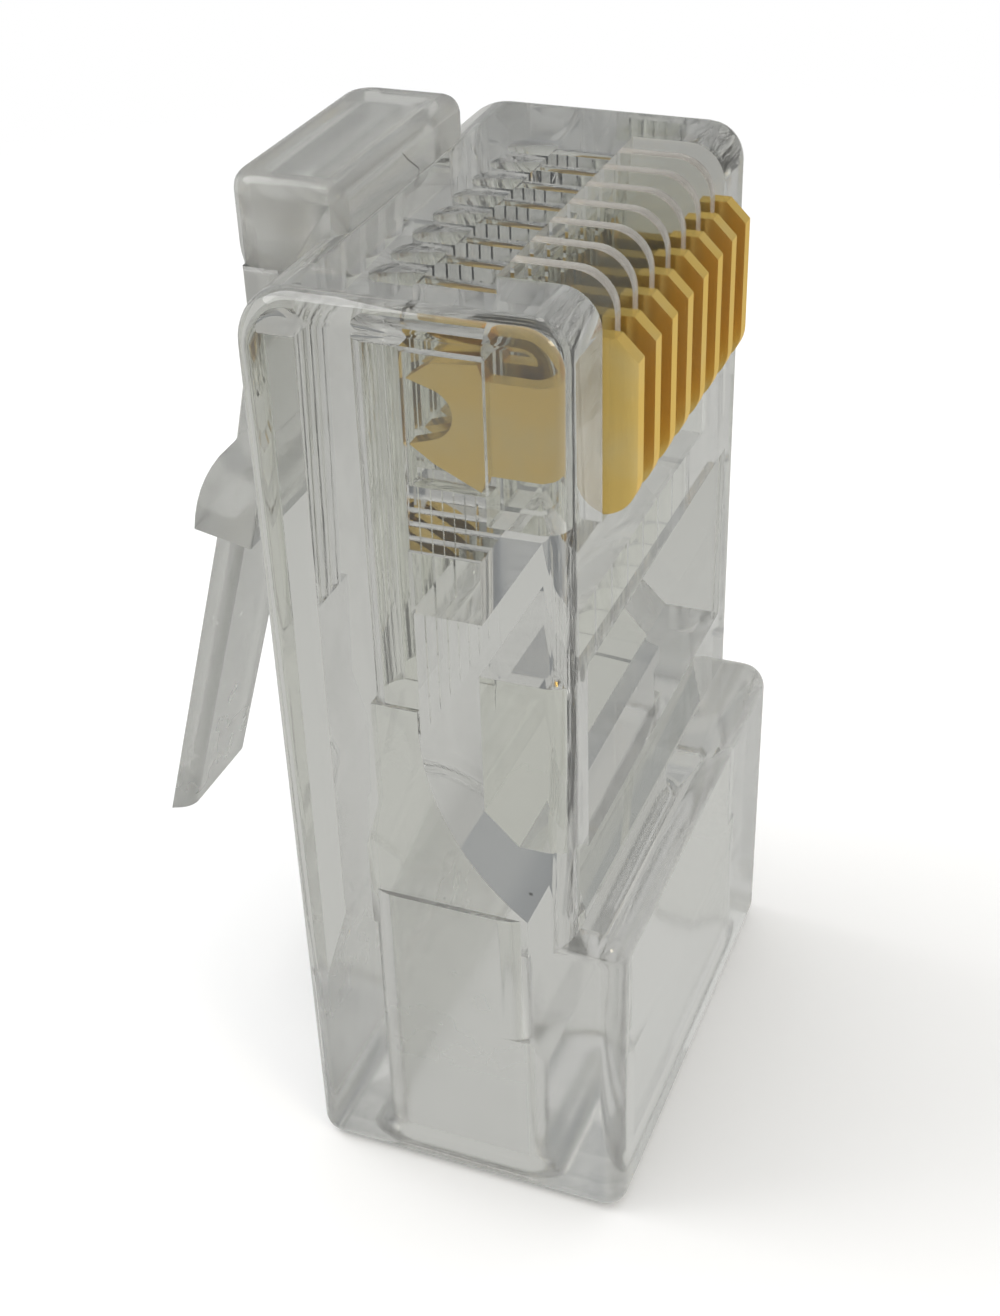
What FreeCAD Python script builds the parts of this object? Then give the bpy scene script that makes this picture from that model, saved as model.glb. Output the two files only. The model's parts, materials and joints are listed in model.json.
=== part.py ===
"""Modular plug with eight positions and eight contacts, before crimping.

Frame, in millimetres: the plug stands on its cable end at Z = 0 with the nose up.
+X is the contact side, -X the latch side, and Y runs across the width.
The origin is the middle of the cable end, on the plane midway through the nose.
"""

import FreeCAD, Part
import math
import os
import re
import Sketcher

V = FreeCAD.Vector

# Driving dimensions: alias, value in mm (counts and slopes are plain numbers), meaning
DIMENSIONS = [
    ("bodyWidth", 11.68, "width across both side walls"),
    ("bodyLength", 21.82, "cable end to nose"),
    ("latchFace", 3.25, "origin plane to the latch-side face"),
    ("contactFace", 3.32, "origin plane to the contact-side face of the nose"),
    ("noseRound", 1.2, "radius of the nose's long edge on the latch side"),
    ("contactRound", 0.8, "radius of the nose's long edge on the contact side"),
    ("sideRound", 0.5, "radius of the long corners of the body"),
    ("baseRound", 0.45, "radius round the cable end"),
    ("rearLength", 8.1, "length of the thicker cable end"),
    ("rearStep", 1.1, "how far the cable end stands out past the contact face"),
    ("stepRound", 0.6, "radius on the outer edge of the step"),
    ("recessWidth", 6.6, "width of the shallow channel behind the latch"),
    ("recessDepth", 0.6, "depth of that channel"),
    ("recessStart", 4.2, "cable end to the start of that channel"),
    ("recessRamp", 2.0, "length over which that channel deepens"),
    ("recessEnd", 1.5, "end of that channel below the nose"),
    ("rootWidth", 6.02, "width of the latch and its root"),
    ("rootFront", 0.96, "how far the root stands above the nose"),
    ("rootDrop", 0.85, "underside of the root below the nose"),
    ("rootOut", 1.45, "how far the root stands out past the latch-side face"),
    ("rootLip", 0.5, "height over which the root narrows to the latch arm"),
    ("rootOver", 1.12, "how far the root reaches over the nose"),
    ("rootCorner", 0.7, "radius of the root's outer corners"),
    ("rootSoft", 0.3, "radius of the root's inner corners"),
    ("rootTop", 0.4, "radius round the top of the root"),
    ("armOut", 1.17, "how far the latch arm stands out past the latch-side face"),
    ("hingeGap", 0.02, "parting gap at the living hinge"),
    ("armThick", 0.85, "thickness of the latch arm"),
    ("armStraight", 1.3, "hinge to the bend of the arm"),
    ("humpStart", 3.85, "hinge to the ramp of the catch"),
    ("humpStartOut", 0.6, "lean of the arm at the ramp"),
    ("humpRise", 0.45, "height of the ramp's first step"),
    ("humpRound", 3.6, "radius of that step"),
    ("catchDrop", 6.2, "hinge to the catch shoulder"),
    ("catchOut", 1.9, "lean of the catch shoulder's edge"),
    ("catchThick", 1.35, "thickness of the arm at the catch"),
    ("catchSlant", 0.27, "slant of the catch shoulder"),
    ("tabWidth", 2.9, "width of the release tab"),
    ("tabThick", 0.65, "thickness of the release tab"),
    ("tabDrop", 15.7, "hinge to the end of the tab"),
    ("tabOut", 4.7, "lean of the tab's end"),
    ("tabRise", 0.11, "how far the tab stands above the catch"),
    ("tabSlant", 0.2, "slant of the tab's end"),
    ("tabRoot", 0.4, "how far the tab runs into the catch"),
    ("tabEdge", 0.3, "radius on the inner edges of the tab"),
    ("contactCount", 8, "number of contacts"),
    ("contactPitch", 1.02, "spacing of the contacts"),
    ("bladeThick", 0.35, "thickness of a contact"),
    ("bladeGap", 0.02, "side clearance of a contact in its slot"),
    ("bladeProud", 0.63, "how far an uncrimped contact stands out"),
    ("bladeDepth", 4.22, "crest to piercing tips"),
    ("bladeTop", 1.0, "top of the contact head below the nose"),
    ("headLength", 3.64, "length of the contact head"),
    ("headDepth", 1.0, "depth of the contact head"),
    ("headFoot", 0.8, "radius at the foot of the head"),
    ("headBevel", 0.42, "bevel at the top of the head"),
    ("waistTop", 0.78, "waist below the top of the head"),
    ("waistLength", 1.92, "length of the waist"),
    ("barbDepth", 2.66, "crest to the barbs"),
    ("barbOut", 0.34, "how far a barb stands out of the waist"),
    ("barbSlant", 0.12, "slant of the barbs"),
    ("tineSpread", 1.35, "distance between the piercing tips"),
    ("tineShift", 0.18, "tips above the middle of the waist"),
    ("tineLength", 0.5, "length of the tips' outer flanks"),
    ("tineFlank", 0.35, "widening of those flanks"),
    ("tipLength", 0.5, "length of the tips' inner flanks"),
    ("tipHalf", 0.16, "width of those flanks"),
    ("tineRound", 0.53, "radius of the hollow between the tips"),
    ("slotWidth", 0.7, "width of the slots for the jack's wires"),
    ("slotEnd", 2.02, "depth of those slots"),
    ("slotFloor", 0.06, "slot floor below the contact head"),
    ("slitEase", 0.08, "end clearance of a barb in its slit"),
    ("tipClear", 0.04, "piercing tip to channel before crimping"),
    ("wireBore", 0.92, "width of a conductor channel"),
    ("wireHeight", 1.05, "height of a conductor channel"),
    ("wireCrown", 0.3, "height of the rounded bottom of a channel"),
    ("wireTop", 1.2, "front end of the channels below the nose"),
    ("wireRun", 12.6, "cable end to the mouth of the channels"),
    ("chestStart", 8.8, "cable end to the ramp up to the channels"),
    ("chestRamp", 1.2, "length of that ramp"),
    ("chestWidth", 8.5, "width of the space for the spread wires"),
    ("jacketWidth", 9.0, "width of the jacket cavity"),
    ("jacketLength", 7.6, "depth of the jacket cavity"),
    ("jacketFloor", 1.55, "wall between jacket cavity and latch face"),
    ("jacketTop", 2.0, "origin plane to the roof of the jacket cavity"),
    ("jacketRound", 0.7, "radius in the corners of the jacket cavity"),
    ("mouthFlare", 0.35, "flare of the cable entry towards the contact side"),
    ("mouthRound", 0.5, "radius round the rim of the cable entry"),
    ("rimLeast", 0.15, "least flat that stays on the rim of the cable end"),
    ("mouthDepth", 3.4, "length of the flared cable entry"),
    ("mouthRamp", 0.7, "length over which the flare narrows"),
    ("roofRadius", 5.8, "radius of the roof over the spread wires"),
    ("windowWidth", 9.6, "width of the strain-relief window"),
    ("windowLow", 9.9, "cable end to the window"),
    ("windowHigh", 14.0, "cable end to the far edge of the window"),
    ("windowDepth", 2.1, "depth of the window"),
    ("windowBevel", 0.75, "bevel inside the window"),
    ("windowLip", 0.4, "bevel on the far edge of the window"),
    ("grooveLow", 15.0, "cable end to the cross groove"),
    ("grooveHigh", 16.4, "cable end to the far edge of the cross groove"),
    ("grooveTop", 1.2, "origin plane to the bottom of the cross groove"),
    ("cutSpare", 1.0, "how far a cut's outline runs past the surface"),
]

PLANES = {"XY": "XY_Plane", "XZ": "XZ_Plane"}
ALIASES = re.compile("|".join(rf"\b{alias}\b" for alias, _, _ in DIMENSIONS))

# Lengths that count as the same, in mm
CLOSE = 0.001


def make_sheet(doc):
    """Spreadsheet with one row for each driving dimension."""
    sheet = doc.addObject("Spreadsheet::Sheet", "Sizes")
    for row, (alias, value, meaning) in enumerate(DIMENSIONS, start=1):
        sheet.set(f"A{row}", alias)
        sheet.set(f"B{row}", str(value))
        sheet.set(f"C{row}", meaning)
        sheet.setAlias(f"B{row}", alias)
    doc.recompute()
    return sheet


def sized(text):
    """Expression text in which every alias is read from the sheet."""
    return ALIASES.sub(lambda found: "Sizes." + found.group(0), text)


def value_of(holder, text):
    """Number that an expression gives now."""
    return float(holder.evalExpression(sized(text)))


def new_body(doc, name):
    """Empty body whose label names its file."""
    body = doc.addObject("PartDesign::Body", name)
    body.Label = name
    return body


def new_sketch(body, name, plane):
    """Sketch on one of the body's own origin planes."""
    sketch = body.newObject("Sketcher::SketchObject", name)
    support = [item for item in body.Origin.OriginFeatures if item.Role == PLANES[plane]][0]
    sketch.AttachmentSupport = [(support, "")]
    sketch.MapMode = "FlatFace"
    return sketch


def hold(sketch, kind, *where, text):
    """Add one dimension to a sketch and bind it to the sheet."""
    number = sketch.addConstraint(Sketcher.Constraint(kind, *where, value_of(sketch, text)))
    sketch.setExpression(f"Constraints[{number}]", sized(text))


def place_point(sketch, edge, end, across, up):
    """Hold one end of a sketch edge at two measured distances from the origin."""
    hold(sketch, "DistanceX", -1, 1, edge, end, text=across)
    hold(sketch, "DistanceY", -1, 1, edge, end, text=up)


def outline(body, name, plane, points):
    """Closed outline of lines and arcs.

    Each point is (across, up) or (across, up, radius, side): with a radius, the edge
    that leaves the point is an arc, bulging to the left of its travel for side 1.
    """
    sketch = new_sketch(body, name, plane)
    spots = [V(value_of(sketch, p[0]), value_of(sketch, p[1]), 0) for p in points]
    for index, point in enumerate(points):
        start = spots[index]
        stop = spots[(index + 1) % len(points)]
        if len(point) == 2:
            sketch.addGeometry(Part.LineSegment(start, stop))
        else:
            add_arc(sketch, start, stop, value_of(sketch, point[2]), point[3])
    join_outline(sketch, points)
    return sketch


def add_arc(sketch, start, stop, radius, side):
    """Arc of a given radius between two points, the shorter way round."""
    middle = (start + stop) * 0.5
    along = stop - start
    left = V(-along.y, along.x, 0).normalize()
    rise = math.sqrt(radius**2 - (along.Length / 2) ** 2)
    bulge = middle + left * side * (radius - rise)
    sketch.addGeometry(Part.Arc(start, bulge, stop))


def join_outline(sketch, points):
    """Tie the ends of neighbouring edges and hold each corner and radius."""
    count = len(points)
    ends = [edge_ends(sketch, index, points[index]) for index in range(count)]
    for index, point in enumerate(points):
        following = (index + 1) % count
        sketch.addConstraint(
            Sketcher.Constraint("Coincident", index, ends[index][1], following, ends[following][0])
        )
    for index, point in enumerate(points):
        place_point(sketch, index, ends[index][0], point[0], point[1])
    for index, point in enumerate(points):
        if len(point) > 2:
            hold(sketch, "Radius", index, text=point[2])


def edge_ends(sketch, index, point):
    """Numbers of an edge's first and last end; arcs that bulge left run backwards."""
    backwards = len(point) > 2 and point[3] > 0
    return (2, 1) if backwards else (1, 2)


def box_outline(body, name, plane, low, high):
    """Rectangular outline between two opposite corners."""
    corners = [(low[0], low[1]), (high[0], low[1]), (high[0], high[1]), (low[0], high[1])]
    return outline(body, name, plane, corners)


def pad(body, sketch, name, length):
    """Pad a sketch to both sides of its plane."""
    feature = body.newObject("PartDesign::Pad", name)
    feature.Profile = sketch
    feature.SideType = "Symmetric"
    feature.setExpression("Length", sized(length))
    body.Document.recompute()
    return feature


def pocket(body, sketch, name, length, shift=None):
    """Cut a sketch out to both sides of its plane, and make sure that it cuts."""
    before = body.Shape.Volume
    feature = body.newObject("PartDesign::Pocket", name)
    feature.Profile = sketch
    feature.SideType = "Symmetric"
    feature.setExpression("Length", sized(length))
    if shift:
        sketch.setExpression("AttachmentOffset.Base.z", sized(shift))
    body.Document.recompute()
    if not feature.Shape.Volume < before:
        raise RuntimeError(f"{name} cuts nothing")
    return feature


def repeat(body, feature, name):
    """Repeat a cut at the contact pitch, along the width."""
    pattern = body.newObject("PartDesign::LinearPattern", name)
    pattern.Originals = [feature]
    axis = [item for item in body.Origin.OriginFeatures if item.Role == "Y_Axis"][0]
    pattern.Direction = (axis, [""])
    pattern.Mode = "Spacing"
    pattern.setExpression("Offset", sized("contactPitch"))
    pattern.setExpression("Occurrences", sized("contactCount"))
    body.Tip = pattern
    body.Document.recompute()
    return pattern


def round_edges(body, name, radius, wanted):
    """Round the edges of the body for which wanted(edge) is true."""
    base = body.Tip
    names = [f"Edge{n}" for n, edge in enumerate(base.Shape.Edges, start=1) if wanted(edge)]
    if not names:
        raise RuntimeError(f"{name} finds no edge")
    feature = body.newObject("PartDesign::Fillet", name)
    feature.Base = (base, names)
    feature.setExpression("Radius", sized(radius))
    body.Document.recompute()
    return feature


def near(first, second):
    """Are two lengths the same?"""
    return abs(first - second) < CLOSE


def edge_lies(edge, **axes):
    """Does an edge lie at the given x, y or z over its whole length?"""
    box = edge.BoundBox
    spans = {"x": (box.XMin, box.XMax), "y": (box.YMin, box.YMax), "z": (box.ZMin, box.ZMax)}
    return all(near(spans[key][0], at) and near(spans[key][1], at) for key, at in axes.items())


# Places that several pieces share, as expressions of the driving dimensions
CREST = "(contactFace + bladeProud)"
TIP = f"({CREST} - bladeDepth)"
ROOF = f"({TIP} - tipClear)"
FLOOR = f"({ROOF} - wireHeight)"
HEAD_TOP = "(bodyLength - bladeTop)"
WAIST_TOP = f"({HEAD_TOP} - waistTop)"
WAIST_LOW = f"({WAIST_TOP} - waistLength)"
TINE_MIDDLE = f"({WAIST_TOP} - waistLength / 2 + tineShift)"
FIRST_CONTACT = "(-contactPitch * (contactCount - 1) / 2)"
ROOT_LOW = "(bodyLength - rootDrop)"
RIM_ROUND = "min(mouthRound; (bodyWidth - jacketWidth) / 2 - baseRound - rimLeast)"
ROOT_OUT = "(-latchFace - rootOut)"
ARM_OUT = "(-latchFace - armOut)"
HINGE_UP = f"({ROOT_LOW} - hingeGap)"
HINGE_ACROSS = f"({ARM_OUT} + armThick)"


def body_profile(body):
    """Side outline of the moulding, with the rounded nose and the thicker cable end."""
    points = [
        ("-latchFace", "0"),
        ("contactFace + rearStep", "0"),
        ("contactFace + rearStep", "rearLength - stepRound", "stepRound", -1),
        ("contactFace + rearStep - stepRound", "rearLength"),
        ("contactFace", "rearLength"),
        ("contactFace", "bodyLength - contactRound", "contactRound", -1),
        ("contactFace - contactRound", "bodyLength"),
        ("-latchFace + noseRound", "bodyLength", "noseRound", -1),
        ("-latchFace", "bodyLength - noseRound"),
    ]
    sketch = outline(body, "SideOutline", "XZ", points)
    return pad(body, sketch, "Block", "bodyWidth")


def round_body(body):
    """Long corners of the moulding and the edge round the cable end."""
    half = value_of(body, "bodyWidth / 2")
    shortest = value_of(body, "rearLength / 2")

    def long_corner(edge):
        upright = edge.BoundBox.ZLength > shortest and edge.BoundBox.XLength < CLOSE
        return upright and (edge_lies(edge, y=half) or edge_lies(edge, y=-half))

    round_edges(body, "LongCorners", "sideRound", long_corner)
    round_edges(body, "CableEnd", "baseRound", lambda edge: edge_lies(edge, z=0))


def latch_root(body):
    """Block at the nose that carries the latch."""
    over = "(-latchFace + rootOver)"
    points = [
        (ARM_OUT, ROOT_LOW),
        (over, ROOT_LOW),
        (over, "bodyLength + rootFront"),
        (ROOT_OUT, "bodyLength + rootFront"),
        (ROOT_OUT, f"{ROOT_LOW} + rootLip"),
    ]
    sketch = outline(body, "RootOutline", "XZ", points)
    pad(body, sketch, "Root", "rootWidth")
    half = value_of(body, "rootWidth / 2")
    top = value_of(body, "bodyLength + rootFront")
    outer = value_of(body, ROOT_OUT)
    inner = value_of(body, over)

    def corner_at(across):
        return lambda edge: any(edge_lies(edge, x=across, y=side) for side in (half, -half))

    round_edges(body, "RootCorners", "rootCorner", corner_at(outer))
    round_edges(body, "RootInnerCorners", "rootSoft", corner_at(inner))
    round_edges(body, "RootTop", "rootTop", lambda edge: edge_lies(edge, z=top))


def latch_recess(body):
    """Shallow channel behind the latch, between two rails."""
    sketch = outline(
        body,
        "RecessOutline",
        "XZ",
        [
            ("-latchFace - cutSpare", "recessStart"),
            ("-latchFace", "recessStart"),
            ("-latchFace + recessDepth", "recessStart + recessRamp"),
            ("-latchFace + recessDepth", "bodyLength - recessEnd"),
            ("-latchFace - cutSpare", "bodyLength - recessEnd"),
        ],
    )
    pocket(body, sketch, "Recess", "recessWidth")


def cable_spaces(body):
    """Jacket cavity, flared entry and the space where the wires spread."""
    jacket = box_outline(
        body,
        "JacketOutline",
        "XY",
        ("-latchFace + jacketFloor", "-jacketWidth / 2"),
        ("jacketTop", "jacketWidth / 2"),
    )
    pocket(body, jacket, "Jacket", "2 * jacketLength")
    wall_up = value_of(body, "jacketLength")

    def jacket_corner(edge):
        box = edge.BoundBox
        upright = box.ZLength > wall_up - CLOSE and near(box.ZMax, wall_up)
        return upright and box.XLength < CLOSE and box.YLength < CLOSE

    round_edges(body, "JacketCorners", "jacketRound", jacket_corner)
    mouth = outline(
        body,
        "MouthOutline",
        "XZ",
        [
            ("jacketTop - cutSpare", "-cutSpare"),
            ("jacketTop + mouthFlare", "-cutSpare"),
            ("jacketTop + mouthFlare", "mouthDepth"),
            ("jacketTop", "mouthDepth + mouthRamp"),
            ("jacketTop - cutSpare", "mouthDepth + mouthRamp"),
        ],
    )
    pocket(body, mouth, "Mouth", "jacketWidth")
    side = value_of(body, "jacketWidth / 2")
    flared = value_of(body, "jacketTop + mouthFlare")

    def mouth_corner(edge):
        return any(edge_lies(edge, x=flared, y=wall) for wall in (side, -side))

    def mouth_rim(edge):
        return edge_lies(edge, z=0) and max(abs(edge.BoundBox.YMin), abs(edge.BoundBox.YMax)) < side + CLOSE

    round_edges(body, "MouthCorners", "jacketRound", mouth_corner)
    round_edges(body, "MouthRim", RIM_ROUND, mouth_rim)
    chest = outline(
        body,
        "ChestOutline",
        "XZ",
        [
            ("-latchFace + jacketFloor", "jacketLength - cutSpare"),
            ("jacketTop", "jacketLength - cutSpare"),
            ("jacketTop", "jacketLength", "roofRadius", 1),
            (ROOF, "wireRun"),
            (FLOOR, "wireRun"),
            (FLOOR, "chestStart + chestRamp"),
            ("-latchFace + jacketFloor", "chestStart"),
        ],
    )
    pocket(body, chest, "Chest", "chestWidth")


def conductor_channels(body):
    """One round-bottomed channel for each conductor, up to the nose."""
    near_side = f"{FIRST_CONTACT} - wireBore / 2"
    far_side = f"{FIRST_CONTACT} + wireBore / 2"
    crown_radius = "(wireCrown^2 + wireBore^2 / 4) / (2 * wireCrown)"
    points = [
        (f"{FLOOR} + wireCrown", near_side),
        (ROOF, near_side),
        (ROOF, far_side),
        (f"{FLOOR} + wireCrown", far_side, crown_radius, -1),
    ]
    sketch = outline(body, "ChannelOutline", "XY", points)
    length = "(bodyLength - wireTop - wireRun + cutSpare)"
    first = pocket(body, sketch, "Channel", length, f"bodyLength - wireTop - {length} / 2")
    repeat(body, first, "Channels")


def contact_slots(body):
    """Slots for the jack's wires and slits that guide the blades."""
    slot = box_outline(
        body,
        "SlotOutline",
        "XZ",
        ("contactFace - slotEnd", f"{HEAD_TOP} - headLength - slotFloor"),
        ("contactFace + cutSpare", "bodyLength + cutSpare"),
    )
    first = pocket(body, slot, "Slot", "slotWidth", f"-{FIRST_CONTACT}")
    repeat(body, first, "Slots")
    slit = box_outline(
        body,
        "SlitOutline",
        "XZ",
        (f"{ROOF} - wireHeight / 2", f"{WAIST_LOW} - barbOut - slitEase"),
        ("contactFace - slotEnd + cutSpare", f"{WAIST_TOP} + barbOut + slitEase"),
    )
    second = pocket(body, slit, "Slit", "bladeThick + 2 * bladeGap", f"-{FIRST_CONTACT}")
    repeat(body, second, "Slits")


def strain_relief(body):
    """Window in the contact face over the strain-relief wall, and the cross groove."""
    inner = "(contactFace - windowDepth)"
    window = outline(
        body,
        "WindowOutline",
        "XZ",
        [
            (f"{inner} + windowBevel", "windowLow"),
            ("contactFace + cutSpare", "windowLow"),
            ("contactFace + cutSpare", "windowHigh + windowLip + cutSpare"),
            ("contactFace - windowLip", "windowHigh"),
            (inner, "windowHigh"),
            (inner, "windowLow + windowBevel"),
        ],
    )
    pocket(body, window, "Window", "windowWidth")
    groove = box_outline(body, "GrooveOutline", "XZ", (ROOF, "grooveLow"), ("grooveTop", "grooveHigh"))
    pocket(body, groove, "Groove", "chestWidth")


def make_housing(doc):
    """The clear moulding: everything but the latch arm and the contacts."""
    body = new_body(doc, "housing")
    body_profile(body)
    round_body(body)
    latch_root(body)
    latch_recess(body)
    cable_spaces(body)
    conductor_channels(body)
    contact_slots(body)
    strain_relief(body)
    return body


def make_latch(doc):
    """The springing latch: wide arm with catch shoulders, then a narrow release tab."""
    body = new_body(doc, "latch")
    catch_out = f"({ARM_OUT} - catchOut)"
    catch_up = f"({HINGE_UP} - catchDrop)"
    bend_up = f"({HINGE_UP} - armStraight)"
    ramp_up = f"({HINGE_UP} - humpStart)"
    ramp_out = f"({ARM_OUT} - humpStartOut)"
    arm = outline(
        body,
        "ArmOutline",
        "XZ",
        [
            (ARM_OUT, HINGE_UP),
            (ARM_OUT, bend_up),
            (ramp_out, ramp_up),
            (f"{ramp_out} - humpRise", f"{ramp_up} - humpRise", "humpRound", -1),
            (catch_out, catch_up),
            (f"{catch_out} + catchThick", f"{catch_up} - catchSlant"),
            (HINGE_ACROSS, bend_up),
            (HINGE_ACROSS, HINGE_UP),
        ],
    )
    pad(body, arm, "Arm", "rootWidth")
    tab_out = f"({catch_out} - tabRise)"
    tip_out = f"({ARM_OUT} - tabOut)"
    tip_up = f"({HINGE_UP} - tabDrop)"
    tab = outline(
        body,
        "TabOutline",
        "XZ",
        [
            (tab_out, catch_up),
            (tip_out, tip_up),
            (f"{tip_out} + tabThick", f"{tip_up} + tabSlant"),
            (f"{tab_out} + tabThick", catch_up),
            (f"{tab_out} + tabRise + tabThick", f"{catch_up} + tabRoot"),
            (f"{tab_out} + tabRise + tabSlant", f"{catch_up} + tabRoot"),
        ],
    )
    pad(body, tab, "Tab", "tabWidth")
    half = value_of(body, "tabWidth / 2")
    shortest = value_of(body, "(tabDrop - catchDrop) / 2")
    inner = value_of(body, f"{tip_out} + tabThick")

    def inner_edge(edge):
        box = edge.BoundBox
        on_side = near(abs(box.YMin), half) and near(box.YMin, box.YMax)
        return on_side and box.ZLength > shortest and box.XMin > inner - CLOSE

    round_edges(body, "TabEdges", "tabEdge", inner_edge)
    return body


def make_contact(doc, number):
    """One insulation-piercing contact blade, standing proud before crimping."""
    body = new_body(doc, f"contact_{number}")
    foot = f"({HEAD_TOP} - headLength)"
    barb = f"({CREST} - barbDepth)"
    tip_high = f"({TINE_MIDDLE} + tineSpread / 2)"
    tip_low = f"({TINE_MIDDLE} - tineSpread / 2)"
    back = f"({TIP} + tineLength)"
    hollow = f"({TIP} + tipLength)"
    points = [
        (f"{CREST} - headBevel", HEAD_TOP),
        (f"{CREST} - headDepth", HEAD_TOP),
        (f"{CREST} - headDepth", WAIST_TOP),
        (barb, WAIST_TOP),
        (f"{barb} - barbSlant", f"{WAIST_TOP} + barbOut"),
        (back, f"{tip_high} + tineFlank"),
        (TIP, tip_high),
        (hollow, f"{tip_high} - tipHalf", "tineRound", 1),
        (hollow, f"{tip_low} + tipHalf"),
        (TIP, tip_low),
        (back, f"{tip_low} - tineFlank"),
        (f"{barb} - barbSlant", f"{WAIST_LOW} - barbOut"),
        (barb, WAIST_LOW),
        (f"{CREST} - headDepth", WAIST_LOW),
        (f"{CREST} - headDepth", foot),
        (f"{CREST} - headFoot", foot, "headFoot", -1),
        (CREST, f"{foot} + headFoot"),
        (CREST, f"{HEAD_TOP} - headBevel"),
    ]
    sketch = outline(body, "BladeOutline", "XZ", points)
    offset = f"-({FIRST_CONTACT} + contactPitch * {number - 1})"
    sketch.setExpression("AttachmentOffset.Base.z", sized(offset))
    pad(body, sketch, "Blade", "bladeThick")
    return body


def check_document(doc, pieces):
    """Stop if any feature failed or any piece has no valid shape."""
    for item in doc.Objects:
        if any(word in item.State for word in ("Invalid", "Error")):
            raise RuntimeError(f"{item.Name} failed: {item.State}")
    for piece in pieces:
        if piece.Shape.isNull() or not piece.Shape.isValid() or len(piece.Shape.Solids) != 1:
            raise RuntimeError(f"{piece.Label} is not one valid solid")


def main():
    """Build every piece, test it and write its file."""
    doc = FreeCAD.newDocument("Plug")
    make_sheet(doc)
    pieces = [make_housing(doc), make_latch(doc)]
    count = int(value_of(pieces[0], "contactCount"))
    pieces += [make_contact(doc, number) for number in range(1, count + 1)]
    doc.recompute()
    check_document(doc, pieces)
    os.makedirs("parts", exist_ok=True)
    for piece in pieces:
        piece.Shape.exportStep(f"parts/{piece.Label}.step")
        box = piece.Shape.BoundBox
        print(piece.Label, round(piece.Shape.Volume, 3), "mm3", box)


main()
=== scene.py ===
"""Finish, stage and camera for a clear modular plug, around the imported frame."""

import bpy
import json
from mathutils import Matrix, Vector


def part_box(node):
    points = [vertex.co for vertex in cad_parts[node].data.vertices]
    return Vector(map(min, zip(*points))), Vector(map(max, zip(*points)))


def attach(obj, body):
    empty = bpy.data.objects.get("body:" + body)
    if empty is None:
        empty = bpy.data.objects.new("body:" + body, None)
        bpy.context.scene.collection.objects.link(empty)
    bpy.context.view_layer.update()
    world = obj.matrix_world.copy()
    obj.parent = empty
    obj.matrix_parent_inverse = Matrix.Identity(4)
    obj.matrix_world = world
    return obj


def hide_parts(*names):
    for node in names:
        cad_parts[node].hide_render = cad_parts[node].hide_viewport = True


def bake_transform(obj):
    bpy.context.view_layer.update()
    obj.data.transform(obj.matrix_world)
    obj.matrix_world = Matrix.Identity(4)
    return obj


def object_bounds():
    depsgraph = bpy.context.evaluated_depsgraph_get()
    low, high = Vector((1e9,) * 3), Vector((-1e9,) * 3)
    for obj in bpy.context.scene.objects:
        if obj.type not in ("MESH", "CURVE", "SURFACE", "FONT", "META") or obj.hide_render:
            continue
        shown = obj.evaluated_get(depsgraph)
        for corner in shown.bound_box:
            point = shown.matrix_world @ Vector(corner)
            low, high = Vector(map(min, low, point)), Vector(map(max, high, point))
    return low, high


bl_info = {
    "name": "Clear Modular Plug Finish",
    "version": (1, 0, 0),
    "blender": (4, 5, 0),
    "location": "3D View > Sidebar > Plug",
    "description": "Dresses a clear moulded plug and its gold-plated contacts, with a pale studio around it",
    "category": "Object",
}

import json
import math

import bmesh
import bpy
from mathutils import Matrix, Vector

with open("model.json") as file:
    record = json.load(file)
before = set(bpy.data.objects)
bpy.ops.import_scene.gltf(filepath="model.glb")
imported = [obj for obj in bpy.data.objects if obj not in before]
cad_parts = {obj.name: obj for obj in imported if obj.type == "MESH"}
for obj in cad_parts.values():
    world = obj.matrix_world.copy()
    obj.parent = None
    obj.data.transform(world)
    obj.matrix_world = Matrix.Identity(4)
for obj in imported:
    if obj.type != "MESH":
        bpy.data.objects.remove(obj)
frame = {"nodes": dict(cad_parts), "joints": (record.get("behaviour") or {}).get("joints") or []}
CAD_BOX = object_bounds()
MM = 0.001
CONTACTS = sorted(name for name in frame["nodes"] if name.startswith("contact_"))
HINGE = Vector(next(joint["pos_m"] for joint in frame["joints"] if joint["name"] == "latch_press"))
LATCH_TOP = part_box("latch")[1].z
ROOT_LOW = min(v.co.z for v in frame["nodes"]["housing"].data.vertices if v.co.x < HINGE.x)

# Plastic by the finish of its mould: share of light let through clear, roughness from and to
POLISHED = (0.98, 0.01, 0.04)
SATIN = (0.86, 0.2, 0.28)
CORE = (0.96, 0.14, 0.22)
# Painted sheen: a dull cream finish on the fins' edges that stands in for the light their rounded edges
# refract
PAINTED_SHEEN = (0.7, 0.2, 0.3)

PLASTIC_IOR = 1.585

# Slow waves and fine grain of the mould on the plastic: scales, and the height that they reach
MOULD_WAVES = {"Wave_Scale": 420.0, "Grain_Scale": 9000.0}
MOULD_STRENGTH = 0.14
MOULD_HEIGHT = 0.01 * MM
GRAIN_SHARE = 0.004
BLOTCH_SCALE = 900.0
BLOTCH_RANGE = (0.45, 0.8)

# Gold by its finish: metallic share, roughness from and to
PLATED = (0.84, 0.2, 0.3)
# Painted glint: a brighter, less metallic gold on the blades' rounded edges
EDGE_GLINT = (0.8, 0.16, 0.24)

# Rolling lines and uneven thickness of the plating
PLATE_MARKS = {"Across": 14000.0, "Along": 900.0}
PLATE_WAVES = {"Wave_Scale": 1500.0, "Grain_Scale": 30000.0}
PLATE_STRENGTH = 0.1
PLATE_HEIGHT = 0.003 * MM

# Largest share of the thin plating's colour
THIN_SHARE = 0.7

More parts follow.
